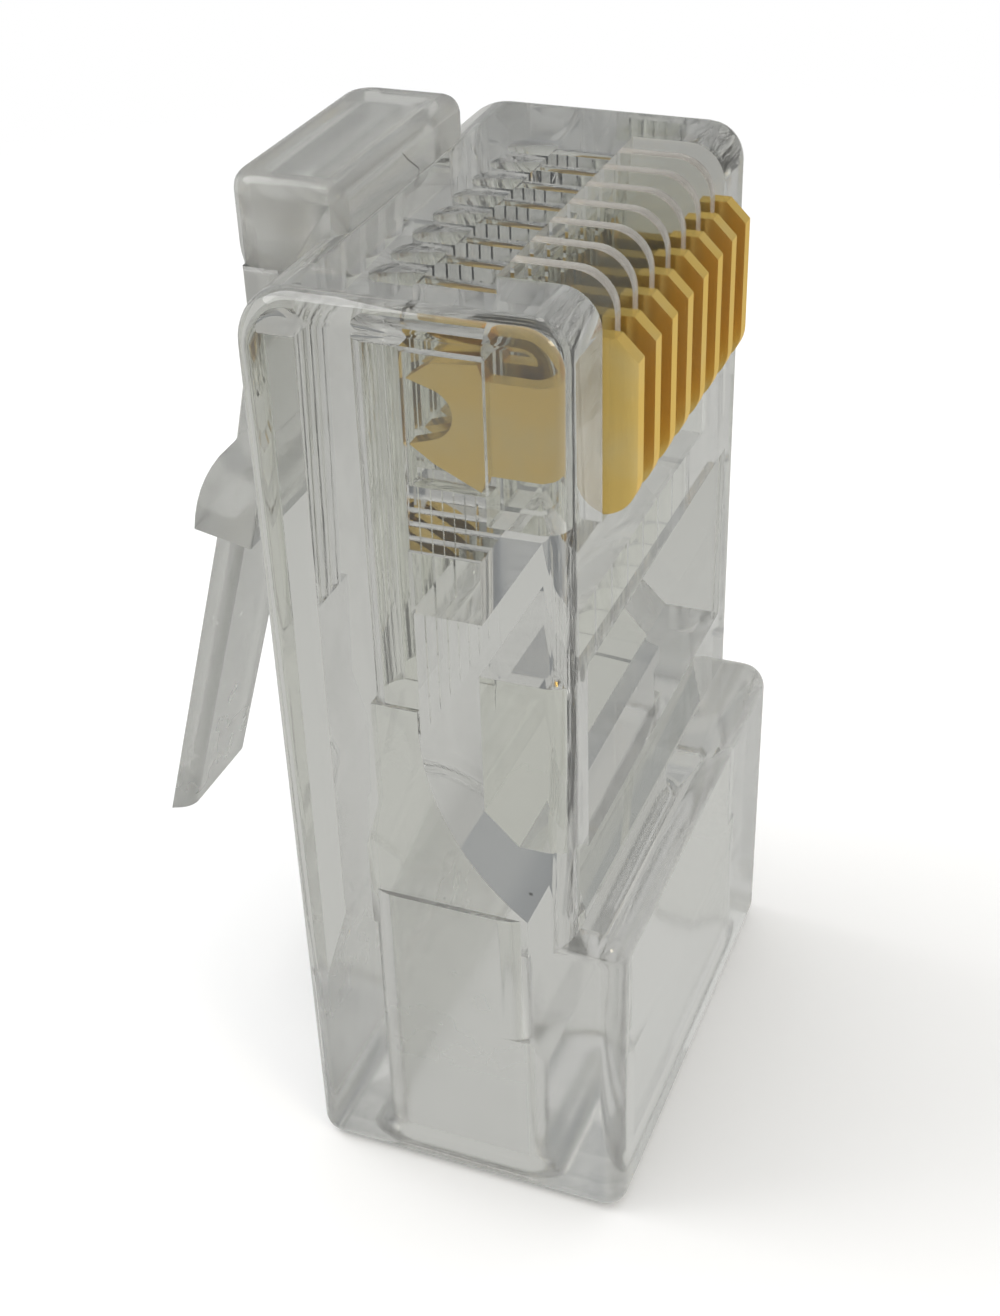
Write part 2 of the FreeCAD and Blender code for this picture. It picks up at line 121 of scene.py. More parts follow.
# Dust: a fibre over the latch root and the nose, by its corners in millimetres, and a speck on the near side
FIBRE = (
    (-2.13, -0.39, 22.76),
    (-2.13, 0.31, 22.74),
    (-2.13, -0.27, 22.58),
    (-2.13, 0.02, 22.30),
    (-2.13, 0.53, 21.95),
    (-2.12, 0.50, 21.82),
    (-1.95, -0.12, 21.82),
    (-1.61, 0.09, 21.82),
    (-1.20, 0.17, 21.82),
)
FIBRE_HALF = 0.016 * MM
SPECK = Vector((2.41, -5.84, 9.17)) * MM
SPECK_HALF = 0.045 * MM

# Share of a mask's half width over which its edge is soft
MASK_SOFT = 0.3

# Places of the finishes in the list of materials
CLEAR, THROUGH, SOFT, FIN, CAVITY = range(5)

# Room inside the moulding, and how much narrower the edges there are rounded
INSIDE_TOP = 1.95 * MM
INSIDE_HALF = 4.8 * MM
INSIDE_LOW = 0.6 * MM
INSIDE_HIGH = 17.0 * MM
INSIDE_SHARE = 0.3

# Top of the cable cavity, whose core was left dull
CAVITY_TOP = 7.7 * MM

# Height below which the mould's polish grows duller, and what that adds to the roughness
DULL_TOP = 11.0 * MM
DULL_MORE = 0.16

# Lengths that count as the same, and distance within which corners are welded
CLOSE = 0.002 * MM
WELD = 0.0002 * MM

# Bends from which an edge is rounded, on the plastic and on the blades, and up to which faces are one flat
MOULD_BEND = math.radians(28)
BLADE_BEND = math.radians(40)
FLAT_BEND = math.radians(0.5)

# Steps across a rounded edge, and rows of faces across the living hinge
MOULD_STEPS = 2
BLADE_STEPS = 3
BEND_ROWS = 8

# Pull of large faces on the smooth shading
FLAT_PULL = 100

# Most that a fin's edge faces sideways, and least that it faces the nose and the contact side
FIN_SIDEWAYS = 0.1
FIN_OUTWARD = 0.5


class PlugSizes(bpy.types.PropertyGroup):
    """Small sizes of the finish."""

    mould_edge: bpy.props.FloatProperty(
        name="Moulded edge",
        description="Softened width of the moulding's edges",
        default=0.09 * MM,
        unit="LENGTH",
    )
    blade_edge: bpy.props.FloatProperty(
        name="Blade edge",
        description="Rolled-over width of a contact's edges",
        default=0.07 * MM,
        unit="LENGTH",
    )
    bend_length: bpy.props.FloatProperty(
        name="Living hinge",
        description="Length of arm that bends when the latch is pressed",
        default=1.3 * MM,
        unit="LENGTH",
    )
    floor_radius: bpy.props.FloatProperty(
        name="Floor radius",
        description="Radius of the round floor",
        default=0.6,
        unit="LENGTH",
    )


class PlugColours(bpy.types.PropertyGroup):
    """Colours of the finish."""

    plastic: bpy.props.FloatVectorProperty(
        name="Clear plastic",
        description="Tint of the moulding",
        subtype="COLOR",
        default=(0.965, 0.97, 0.94),
    )
    # Painted sheen: this cream stands in for light refracted by the fins' rounded edges, not for a colour of
    # the plastic
    fin: bpy.props.FloatVectorProperty(
        name="Fin edges",
        description="Tint of the thin fins' edges",
        subtype="COLOR",
        default=(0.90, 0.85, 0.77),
    )
    dust: bpy.props.FloatVectorProperty(
        name="Dust",
        description="Colour of the fibre and the speck",
        subtype="COLOR",
        default=(0.12, 0.11, 0.10),
    )
    gold: bpy.props.FloatVectorProperty(
        name="Gold plate",
        description="Colour of the plated contacts",
        subtype="COLOR",
        default=(0.92, 0.66, 0.21),
    )
    gold_thin: bpy.props.FloatVectorProperty(
        name="Thin plate",
        description="Colour where the plating is thinner",
        subtype="COLOR",
        default=(0.88, 0.70, 0.33),
    )
    # Painted glint: a brighter gold that stands in for highlights on the blades' rounded edges
    gold_glint: bpy.props.FloatVectorProperty(
        name="Gold, burnished",
        description="Colour of the rolled edges",
        subtype="COLOR",
        default=(1.0, 0.76, 0.27),
    )
    gold_edge: bpy.props.FloatVectorProperty(
        name="Gold, grazing",
        description="Tint of the plating seen at a low angle",
        subtype="COLOR",
        default=(1.0, 0.82, 0.45),
    )
    # Painted glow: this grey is also the colour of the glow that the floor shows in the plastic and the gold
    floor: bpy.props.FloatVectorProperty(
        name="Floor",
        description="Pale grey that the clear plastic shows",
        subtype="COLOR",
        default=(0.60, 0.60, 0.585),
    )
    studio_cool: bpy.props.FloatVectorProperty(
        name="Studio, dim side",
        description="Tint of the dim surroundings",
        subtype="COLOR",
        default=(0.96, 1.0, 1.05),
    )
    studio_warm: bpy.props.FloatVectorProperty(
        name="Studio, lit side",
        description="Tint of the bright surroundings",
        subtype="COLOR",
        default=(1.0, 0.985, 0.93),
    )
    floor_seen: bpy.props.FloatVectorProperty(
        name="Floor, seen",
        description="Floor colour that the camera sees",
        subtype="COLOR",
        default=(1.0, 1.0, 1.0),
    )


def sizes():
    """The sizes that the user has set."""
    return bpy.context.scene.plug_sizes


def colours():
    """The colours that the user has set."""
    return bpy.context.scene.plug_colours


def full(colour):
    """A colour with its fourth number, for a shader socket."""
    return (*colour, 1.0)


def new_material(name):
    """Empty node material, with its tree and its output node."""
    material = bpy.data.materials.new(name)
    material.use_nodes = True
    material.node_tree.nodes.clear()
    output = material.node_tree.nodes.new("ShaderNodeOutputMaterial")
    return material, material.node_tree, output


def add_node(tree, kind, **values):
    """Node of a kind, with its properties or input sockets set by name."""
    node = tree.nodes.new(kind)
    for key, value in values.items():
        socket = key.replace("_", " ")
        if hasattr(node, key):
            setattr(node, key, value)
        else:
            node.inputs[socket].default_value = value
    return node


def paired(tree, operation, first, second):
    """Outcome of one step of arithmetic on two values."""
    node = add_node(tree, "ShaderNodeMath", operation=operation)
    tree.links.new(first, node.inputs[0])
    tree.links.new(second, node.inputs[1])
    return node.outputs[0]


def mixed_shader(tree, share, first, second):
    """Blend of two shaders by a share."""
    node = add_node(tree, "ShaderNodeMixShader")
    tree.links.new(share, node.inputs["Fac"])
    tree.links.new(first, node.inputs[1])
    tree.links.new(second, node.inputs[2])
    return node.outputs[0]


def new_group(name, inputs, outputs):
    """Shader node group with named number inputs and outputs."""
    group = bpy.data.node_groups.new(name, "ShaderNodeTree")
    for label, value in inputs:
        socket = group.interface.new_socket(name=label, in_out="INPUT", socket_type="NodeSocketFloat")
        socket.default_value = value
    for label in outputs:
        group.interface.new_socket(name=label, in_out="OUTPUT", socket_type="NodeSocketFloat")
    entry = group.nodes.new("NodeGroupInput")
    leave = group.nodes.new("NodeGroupOutput")
    return group, entry, leave


def flow_group():
    """Slow waves and fine grain that a mould leaves on clear plastic: a height and a roughness mask."""
    name = "mould_flow"
    if name in bpy.data.node_groups:
        return bpy.data.node_groups[name]
    scales = [(key.replace("_", " "), value) for key, value in MOULD_WAVES.items()]
    group, entry, leave = new_group(name, scales, ["Height", "Haze"])
    place = add_node(group, "ShaderNodeTexCoord")
    waves = add_node(group, "ShaderNodeTexNoise", Detail=1.0, Roughness=0.4)
    grain = add_node(group, "ShaderNodeTexNoise", Detail=0.0)
    blotch = add_node(group, "ShaderNodeTexNoise", Scale=BLOTCH_SCALE, Detail=2.0, Roughness=0.6)
    links = group.links
    for texture in (waves, grain, blotch):
        links.new(place.outputs["Object"], texture.inputs["Vector"])
    links.new(entry.outputs["Wave Scale"], waves.inputs["Scale"])
    links.new(entry.outputs["Grain Scale"], grain.inputs["Scale"])
    fine = add_node(group, "ShaderNodeMath", operation="MULTIPLY")
    fine.inputs[1].default_value = GRAIN_SHARE
    links.new(grain.outputs["Fac"], fine.inputs[0])
    total = paired(group, "ADD", waves.outputs["Fac"], fine.outputs[0])
    haze = add_node(group, "ShaderNodeMapRange")
    haze.inputs["From Min"].default_value = BLOTCH_RANGE[0]
    haze.inputs["From Max"].default_value = BLOTCH_RANGE[1]
    links.new(blotch.outputs["Fac"], haze.inputs["Value"])
    links.new(total, leave.inputs["Height"])
    links.new(haze.outputs["Result"], leave.inputs["Haze"])
    return group


def marks_group():
    """Fine handling scratches in one direction: a mask from 0 to 1."""
    name = "handling_marks"
    if name in bpy.data.node_groups:
        return bpy.data.node_groups[name]
    group, entry, leave = new_group(name, PLATE_MARKS.items(), ["Marks"])
    place = add_node(group, "ShaderNodeTexCoord")
    stretch = add_node(group, "ShaderNodeMapping")
    scale = add_node(group, "ShaderNodeCombineXYZ")
    lines = add_node(group, "ShaderNodeTexNoise", Scale=1.0, Detail=3.0, Roughness=0.7)
    links = group.links
    links.new(entry.outputs["Across"], scale.inputs["X"])
    links.new(entry.outputs["Across"], scale.inputs["Y"])
    links.new(entry.outputs["Along"], scale.inputs["Z"])
    links.new(place.outputs["Object"], stretch.inputs["Vector"])
    links.new(scale.outputs[0], stretch.inputs["Scale"])
    links.new(stretch.outputs[0], lines.inputs["Vector"])
    links.new(lines.outputs["Fac"], leave.inputs["Marks"])
    return group


def place_group(tree, group, **values):
    """Put a node group into a tree with its own values."""
    node = tree.nodes.new("ShaderNodeGroup")
    node.node_tree = group
    for key, value in values.items():
        node.inputs[key.replace("_", " ")].default_value = value
    return node


def ranged(tree, source, low, high):
    """Map a 0 to 1 value to a range."""
    node = add_node(tree, "ShaderNodeMapRange")
    node.inputs["To Min"].default_value = low
    node.inputs["To Max"].default_value = high
    tree.links.new(source, node.inputs["Value"])
    return node.outputs["Result"]


def near_point(group, place, point, half):
    """Mask that is 1 within a small distance of a point."""
    away = add_node(group, "ShaderNodeVectorMath", operation="DISTANCE")
    away.inputs[1].default_value = point
    group.links.new(place, away.inputs[0])
    return edge_mask(group, away.outputs["Value"], half)


def edge_mask(group, distance, half):
    """Mask that falls from 1 to 0 as a distance passes a half width."""
    mask = add_node(group, "ShaderNodeMapRange", interpolation_type="SMOOTHSTEP")
    mask.inputs["From Min"].default_value = (1 - MASK_SOFT) * half
    mask.inputs["From Max"].default_value = (1 + MASK_SOFT) * half
    mask.inputs["To Min"].default_value = 1.0
    mask.inputs["To Max"].default_value = 0.0
    group.links.new(distance, mask.inputs["Value"])
    return mask.outputs["Result"]


def from_stretch(group, place, start, end):
    """Distance to one straight stretch between two points."""
    along = end - start
    offset = add_node(group, "ShaderNodeVectorMath", operation="SUBTRACT")
    offset.inputs[1].default_value = start
    share = add_node(group, "ShaderNodeVectorMath", operation="DOT_PRODUCT")
    share.inputs[1].default_value = along / along.length_squared
    inside = add_node(group, "ShaderNodeClamp")
    foot = add_node(group, "ShaderNodeVectorMath", operation="SCALE")
    foot.inputs[0].default_value = along
    away = add_node(group, "ShaderNodeVectorMath", operation="DISTANCE")
    group.links.new(place, offset.inputs[0])
    group.links.new(offset.outputs["Vector"], share.inputs[0])
    group.links.new(share.outputs["Value"], inside.inputs["Value"])
    group.links.new(inside.outputs[0], foot.inputs["Scale"])
    group.links.new(offset.outputs["Vector"], away.inputs[0])
    group.links.new(foot.outputs["Vector"], away.inputs[1])
    return away.outputs["Value"]


def dirt_group():
    """Dust that lies on the plug: a thin curled fibre and a speck, as a mask from 0 to 1."""
    name = "dust_on_plastic"
    if name in bpy.data.node_groups:
        return bpy.data.node_groups[name]
    group, entry, leave = new_group(name, [], ["Dust"])
    place = add_node(group, "ShaderNodeTexCoord").outputs["Object"]
    corners = [Vector(point) * MM for point in FIBRE]
    stretches = [from_stretch(group, place, start, end) for start, end in zip(corners, corners[1:])]
    nearest = stretches[0]
    for away in stretches[1:]:
        nearest = paired(group, "MINIMUM", nearest, away)
    fibre = edge_mask(group, nearest, FIBRE_HALF)
    speck = near_point(group, place, SPECK, SPECK_HALF)
    group.links.new(paired(group, "MAXIMUM", fibre, speck), leave.inputs["Dust"])
    return group


def lay_dust(tree, shader, tint):
    """Darken the plastic where the dust lies."""
    dust = place_group(tree, dirt_group())
    colour = add_node(tree, "ShaderNodeMix", data_type="RGBA")
    colour.inputs["A"].default_value = full(tint)
    colour.inputs["B"].default_value = full(colours().dust)
    tree.links.new(dust.outputs["Dust"], colour.inputs["Factor"])
    tree.links.new(colour.outputs["Result"], shader.inputs["Base Color"])


def duller_below(tree, haze):
    """Roughness that grows towards the cable end, where the mould's polish grows duller."""
    place = add_node(tree, "ShaderNodeTexCoord")
    split = add_node(tree, "ShaderNodeSeparateXYZ")
    dull = add_node(tree, "ShaderNodeMapRange", interpolation_type="SMOOTHSTEP")
    dull.inputs["From Min"].default_value = DULL_TOP
    dull.inputs["From Max"].default_value = 0.0
    dull.inputs["To Max"].default_value = DULL_MORE
    tree.links.new(place.outputs["Object"], split.inputs[0])
    tree.links.new(split.outputs["Z"], dull.inputs["Value"])
    return paired(tree, "ADD", dull.outputs["Result"], haze)


def plastic(name, finish, tint, dusty=False):
    """Clear polycarbonate with the finish of its mould: slow moulding waves and a trace of haze."""
    if name in bpy.data.materials:
        return bpy.data.materials[name]
    clarity, smooth, rough = finish
    material, tree, output = new_material(name)
    flow = place_group(tree, flow_group(), **MOULD_WAVES)
    bump = add_node(tree, "ShaderNodeBump", Strength=MOULD_STRENGTH, Distance=MOULD_HEIGHT)
    shader = add_node(tree, "ShaderNodeBsdfPrincipled", IOR=PLASTIC_IOR)
    shader.inputs["Transmission Weight"].default_value = clarity
    shader.inputs["Base Color"].default_value = full(tint)
    if dusty:
        lay_dust(tree, shader, tint)
    tree.links.new(flow.outputs["Height"], bump.inputs["Height"])
    tree.links.new(bump.outputs["Normal"], shader.inputs["Normal"])
    haze = ranged(tree, flow.outputs["Haze"], smooth, rough)
    tree.links.new(duller_below(tree, haze), shader.inputs["Roughness"])
    tree.links.new(shader.outputs[0], output.inputs["Surface"])
    return material


def plastic_finishes():
    """The housing's materials, in the order of its face marks."""
    return [
        plastic("polished_polycarbonate", POLISHED, colours().plastic, dusty=True),
        inside_face(),
        plastic("satin_polycarbonate", SATIN, colours().plastic, dusty=True),
        plastic("frosted_polycarbonate", PAINTED_SHEEN, colours().fin),
        plastic("cavity_polycarbonate", CORE, colours().plastic),
    ]


def inside_face():
    """The place where latch and housing run into each other: no surface at all."""
    name = "moulded_through"
    if name in bpy.data.materials:
        return bpy.data.materials[name]
    material, tree, output = new_material(name)
    shader = add_node(tree, "ShaderNodeBsdfPrincipled", IOR=1.0, Alpha=0.0)
    tree.links.new(shader.outputs[0], output.inputs["Surface"])
    return material


def gold_plate(name, colour, finish):
    """Gold plating over rolled strip: fine rolling lines and uneven thickness."""
    if name in bpy.data.materials:
        return bpy.data.materials[name]
    metallic, smooth, rough = finish
    material, tree, output = new_material(name)
    marks = place_group(tree, marks_group(), **PLATE_MARKS)
    flow = place_group(tree, flow_group(), **PLATE_WAVES)
    tint = add_node(tree, "ShaderNodeMix", data_type="RGBA")
    tint.inputs["A"].default_value = full(colour)
    tint.inputs["B"].default_value = full(colours().gold_thin)
    tree.links.new(ranged(tree, flow.outputs["Haze"], 0.0, THIN_SHARE), tint.inputs["Factor"])
    shader = add_node(tree, "ShaderNodeBsdfPrincipled", Metallic=metallic)
    shader.inputs["Specular Tint"].default_value = full(colours().gold_edge)
    bump = add_node(tree, "ShaderNodeBump", Strength=PLATE_STRENGTH, Distance=PLATE_HEIGHT)
    tree.links.new(marks.outputs["Marks"], bump.inputs["Height"])
    tree.links.new(bump.outputs["Normal"], shader.inputs["Normal"])
    tree.links.new(tint.outputs["Result"], shader.inputs["Base Color"])
    tree.links.new(ranged(tree, marks.outputs["Marks"], smooth, rough), shader.inputs["Roughness"])
    tree.links.new(shader.outputs[0], output.inputs["Surface"])
    return material


def copy_solid(node):
    """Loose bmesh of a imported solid, with welded corners."""
    mesh = bmesh.new()
    mesh.from_mesh(frame["nodes"][node].data)
    bmesh.ops.remove_doubles(mesh, verts=mesh.verts, dist=WELD)
    return mesh


def cut_across(mesh, point, normal, faces=None):
    """Cut faces, or the whole mesh, with a plane, and mark the cut as a seam."""
    if faces is None:
        faces = mesh.faces[:]
    geometry = set(faces)
    for face in faces:
        geometry.update(face.edges)
        geometry.update(face.verts)
    cut = bmesh.ops.bisect_plane(
        mesh, geom=list(geometry), dist=WELD, plane_co=Vector(point), plane_no=Vector(normal)
    )
    for item in cut["geom_cut"]:
        if isinstance(item, bmesh.types.BMEdge):
            item.seam = True


def join_flats(mesh):
    """Join the triangles of each flat face, in two halves so that no joined face goes round a hole."""
    cut_across(mesh, (0, 0, 0), (0, 1, 0))
    bmesh.ops.dissolve_limit(
        mesh, angle_limit=FLAT_BEND, verts=mesh.verts, edges=mesh.edges, delimit={"MATERIAL", "SEAM"}
    )


def as_piece(mesh, name, materials):
    """Object from a bmesh, with its materials."""
    data = bpy.data.meshes.new(name)
    mesh.to_mesh(data)
    mesh.free()
    piece = bpy.data.objects.new(name, data)
    bpy.context.scene.collection.objects.link(piece)
    for material in materials:
        data.materials.append(material)
    return piece


def lies_inside(point):
    """Does a point lie within the moulding, on its cavities and channels?"""
    return point.x < INSIDE_TOP and abs(point.y) < INSIDE_HALF and INSIDE_LOW < point.z < INSIDE_HIGH


def weigh_edges(mesh):
    """Mark the moulding's edges to round: fully outside, less inside, and not where latch and root join."""
    layer = mesh.edges.layers.float.new("bevel_weight_edge")
    for edge in mesh.edges:
        bends = len(edge.link_faces) == 2 and edge.calc_face_angle(0.0) > MOULD_BEND
        joined = all(on_joint(vertex.co) for vertex in edge.verts)
        share = INSIDE_SHARE if lies_inside((edge.verts[0].co + edge.verts[1].co) / 2) else 1.0
        edge[layer] = share if bends and not joined else 0.0


def keep_flats(piece):
    """Shade the large faces flat, and let the rounded edges take up the turn."""
    normals = piece.modifiers.new("flat_faces", "WEIGHTED_NORMAL")
    normals.keep_sharp = False
    normals.weight = FLAT_PULL


def soften(piece):
    """Round the marked edges and keep the flats flat."""
    bevel = piece.modifiers.new("moulded_edge", "BEVEL")
    bevel.width = sizes().mould_edge
    bevel.segments = MOULD_STEPS
    bevel.limit_method = "WEIGHT"
    bevel.miter_outer = "MITER_ARC"
    for polygon in piece.data.polygons:
        polygon.use_smooth = True
    keep_flats(piece)


def on_joint(point):
    """Does a point lie where the latch arm runs into its root?"""
    return abs(point.z - ROOT_LOW) < CLOSE and point.x < HINGE.x + CLOSE


def mark_joint_faces(mesh, finish):
    """Give the faces where latch and housing join their own material, and the rest a finish."""
    for face in mesh.faces:
        face.material_index = THROUGH if all(on_joint(vertex.co) for vertex in face.verts) else finish


def faces_at(mesh, axis, level):
    """Faces that lie in a plane square to an axis."""
    return [face for face in mesh.faces if all(abs(vertex.co[axis] - level) < CLOSE for vertex in face.verts)]


def mark_fin_sheen(mesh):
    """Give the outer edges of the thin fins between the slots, from the nose round to the contact side, a
    painted sheen: a dull cream finish that stands in for the light their rounded edges refract.
    """
    low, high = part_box(CONTACTS[0])
    side = abs(low.y + high.y) / 2
    points = [vertex.co for vertex in mesh.verts if vertex.co.x > 0 and abs(vertex.co.y) < side]
    nose = max(point.z for point in points)
    inner = min(point.x for point in points if abs(point.z - nose) < CLOSE)
    above = [point for point in points if point.z > low.z - MM]
    front = max(point.x for point in above)
    foot = min(point.z for point in above if abs(point.x - front) < CLOSE)
    cut_across(mesh, (inner, 0, 0), (1, 0, 0), faces_at(mesh, 2, nose))
    cut_across(mesh, (0, 0, foot), (0, 0, 1), faces_at(mesh, 0, front))
    mesh.normal_update()
    for face in mesh.faces:
        middle = face.calc_center_median()
        among = middle.x > inner + CLOSE and middle.z > foot + CLOSE and abs(middle.y) < side
        if among and abs(face.normal.y) < FIN_SIDEWAYS and face.normal.x + face.normal.z > FIN_OUTWARD:
            face.material_index = FIN


def mark_cavity(mesh):
    """Leave the walls of the cable cavity as dull as the core that shaped them."""
    for face in mesh.faces:
        middle = face.calc_center_median()
        if face.material_index == CLEAR and lies_inside(middle) and middle.z < CAVITY_TOP:
            face.material_index = CAVITY


def mark_root(mesh):
    """Give the latch root, which stands out from the box of the moulding, the satin finish."""
    body_side = min(vertex.co.x for vertex in mesh.verts if vertex.co.z < ROOT_LOW - MM)
    nose = max(vertex.co.z for vertex in mesh.verts if vertex.co.x > 0)
    for face in mesh.faces:
        middle = face.calc_center_median()
        if face.material_index != THROUGH and (middle.x < body_side - CLOSE or middle.z > nose + CLOSE):
            face.material_index = SOFT


class PLUG_OT_housing(bpy.types.Operator):
    """Dress the clear moulded housing"""

    bl_idname = "plug.housing"
    bl_label = "Housing"

    def execute(self, context):
        mesh = copy_solid("housing")
        cut_across(mesh, HINGE, (1, 0, 0), faces_at(mesh, 2, ROOT_LOW))
        mark_joint_faces(mesh, CLEAR)
        mark_fin_sheen(mesh)
        mark_cavity(mesh)
        mark_root(mesh)
        join_flats(mesh)
        weigh_edges(mesh)
        piece = as_piece(mesh, "moulded_housing", plastic_finishes())
        soften(piece)
        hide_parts("housing")
        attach(piece, "housing")
        return {"FINISHED"}


class PLUG_OT_latch(bpy.types.Operator):
    """Dress the latch, with loops across its living hinge"""

    bl_idname = "plug.latch"
    bl_label = "Latch"

    def execute(self, context):
        mesh = copy_solid("latch")
        for vertex in mesh.verts:
            if abs(vertex.co.z - LATCH_TOP) < CLOSE:
                vertex.co.z = ROOT_LOW
        mark_joint_faces(mesh, SOFT)
        join_flats(mesh)
        bend = sizes().bend_length
        for row in range(1, BEND_ROWS):
            height = ROOT_LOW - bend * row / BEND_ROWS
            cut_across(mesh, (0, 0, height), (0, 0, 1))
        weigh_edges(mesh)
        piece = as_piece(mesh, "springing_latch", plastic_finishes())
        soften(piece)
        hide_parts("latch")
        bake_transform(piece)
        return {"FINISHED"}


class PLUG_OT_contacts(bpy.types.Operator):
    """Plate the contacts and roll their edges, which get a painted glint in a brighter gold"""

    bl_idname = "plug.contacts"
    bl_label = "Contacts"

    def execute(self, context):
        for name in CONTACTS:
            blade = frame["nodes"][name]
            blade.data.materials.clear()
            blade.data.materials.append(gold_plate("gold_plating", colours().gold, PLATED))
            blade.data.materials.append(gold_plate("burnished_edges", colours().gold_glint, EDGE_GLINT))
            bevel = blade.modifiers.new("rolled_edge", "BEVEL")
            bevel.width = sizes().blade_edge
            bevel.segments = BLADE_STEPS
            bevel.material = 1
            bevel.limit_method = "ANGLE"
            bevel.angle_limit = BLADE_BEND
            keep_flats(blade)
        return {"FINISHED"}


# The camera that the photograph was taken with, worked out from the plug's corners
CAMERA_AZIMUTH = math.radians(22.829)
CAMERA_ELEVATION = math.radians(34.823)
CAMERA_ROLL = math.radians(2.218)
CAMERA_DISTANCE = 44.955 * MM
CAMERA_TARGET = Vector((-0.507, -0.438, 9.703)) * MM
IMAGE_WIDTH = 1000
IMAGE_HEIGHT = 1316
FOCAL_PIXELS = 1940.4
CENTRE_PIXEL = (495.0, 706.0)
SENSOR = 36.0

# Light runs to and fro many times inside the clear walls
LIGHT_BOUNCES = 16

# How bright the floor's painted glow shows in the plastic: near a place to the right of the plug, and far
# from it
FLOOR_NEAR = 0.85
FLOOR_FAR = 0.66
FLOOR_CENTRE = Vector((4.0, 2.0, 0.0)) * MM
FLOOR_INNER = 12 * MM
FLOOR_OUTER = 70 * MM

# How much brighter the floor's painted glow shows in the outer faces than through the plastic, as a painted
# reflection
OUTER_MORE = 0.3

# Limit between the first bounce of a light path and the second
OUTER_BOUNCES = 1.5

# Sides of the round floor
FLOOR_SEGMENTS = 96

# Radii between which the floor goes over into the white backdrop, as the camera sees it
SEEN_INNER = 25 * MM
SEEN_OUTER = 80 * MM

# Painted pool of light in the floor's glow to the right: its place, what it adds, and its radius from and to
GLOW_CENTRE = Vector((30.0, -10.0, 0.0)) * MM
GLOW_MORE = 0.75
GLOW_INNER = 5 * MM
GLOW_OUTER = 24 * MM

# Brightness of the surroundings, and what each side adds: direction, begin, end, change
STUDIO_LEVEL = 0.40
STUDIO_PARTS = (
    ((1.0, 0.0, 0.0), 0.0, 0.9, 0.11),
    ((-0.62, 0.78, 0.0), 0.5, 1.0, -0.09),
    ((0.55, 0.5, 0.67), 0.75, 0.97, -0.09),
    ((-0.6, -0.3, 0.74), 0.6, 0.97, 0.12),
    ((-0.25, 0.68, 0.69), 0.82, 0.97, -0.15),
    ((-0.03, 0.64, 0.77), 0.993, 0.998, 1.1),
    ((-0.45, 0.55, 0.70), 0.994, 0.999, 1.1),
    ((0.40, 0.62, 0.67), 0.994, 0.999, 0.9),
)

WHITE = (1.0, 1.0, 1.0)

# Brightness of the surroundings as the light that falls on dull faces
LIT_LEVEL = 0.92

# Brightness at which the surroundings turn from the cool tint to the warm one
TINT_RANGE = (0.25, 0.48)

# Soft lamps: name, place from the plug's middle in metres, width, power and colour
LAMPS = (
    ("window_left", (-0.10, -0.02, 0.12), 0.10, 0.09, WHITE),
    ("lamp_right", (0.10, -0.06, 0.09), 0.03, 0.02, (1.0, 0.9, 0.66)),
)

# Furthest that the camera sees, in metres
VIEW_END = 10.0


def make_camera():
    """Camera at the photograph's viewing angle."""
    data = bpy.data.cameras.new("camera")
    camera = bpy.data.objects.new("camera", data)
    bpy.context.scene.collection.objects.link(camera)
    across, up = math.cos(CAMERA_ELEVATION), math.sin(CAMERA_ELEVATION)
    back = Vector((math.sin(CAMERA_AZIMUTH) * across, -math.cos(CAMERA_AZIMUTH) * across, up))
    level = Vector((0, 0, 1)).cross(back).normalized()
    above = back.cross(level)
    turn, lean = math.cos(CAMERA_ROLL), math.sin(CAMERA_ROLL)
    right = level * turn - above * lean
    upward = level * lean + above * turn
    rotation = Matrix((right, upward, back)).transposed()
    camera.matrix_world = Matrix.Translation(CAMERA_TARGET + back * CAMERA_DISTANCE) @ rotation.to_4x4()
    data.sensor_width = SENSOR
    data.lens = FOCAL_PIXELS * SENSOR / IMAGE_HEIGHT
    data.shift_x = (IMAGE_WIDTH / 2 - CENTRE_PIXEL[0]) / IMAGE_HEIGHT
    data.shift_y = (CENTRE_PIXEL[1] - IMAGE_HEIGHT / 2) / IMAGE_HEIGHT
    data.clip_start = MM
    data.clip_end = VIEW_END
    bpy.context.scene.camera = camera


def shown_inside(tree):
    """Light path, and a switch that is 1 for what shows through the plastic or in a glossy face."""
    path = add_node(tree, "ShaderNodeLightPath")
    return path, paired(tree, "MAXIMUM", path.outputs["Is Glossy Ray"], path.outputs["Is Transmission Ray"])


def add_outer(tree, path, level):
    """Painted reflection: raise a brightness where it shows in the outer faces, at the first bounce of a
    path.
    """
    first = add_node(tree, "ShaderNodeMath", operation="LESS_THAN")
    first.inputs[1].default_value = OUTER_BOUNCES
    total = add_node(tree, "ShaderNodeMath", operation="MULTIPLY_ADD")
    total.inputs[1].default_value = OUTER_MORE
    tree.links.new(path.outputs["Ray Depth"], first.inputs[0])
    outer = paired(tree, "MULTIPLY", first.outputs[0], path.outputs["Is Glossy Ray"])
    tree.links.new(outer, total.inputs[0])
    tree.links.new(level, total.inputs[2])
    return total.outputs[0]


def faded(tree, place, centre, radii, values):
    """Value that runs smoothly from one to another between two distances from a point."""
    away = add_node(tree, "ShaderNodeVectorMath", operation="DISTANCE")
    away.inputs[1].default_value = centre
    change = add_node(tree, "ShaderNodeMapRange", interpolation_type="SMOOTHSTEP")
    change.inputs["From Min"].default_value = radii[0]
    change.inputs["From Max"].default_value = radii[1]
    change.inputs["To Min"].default_value = values[0]
    change.inputs["To Max"].default_value = values[1]
    tree.links.new(place, away.inputs[0])
    tree.links.new(away.outputs["Value"], change.inputs["Value"])
    return change.outputs["Result"]


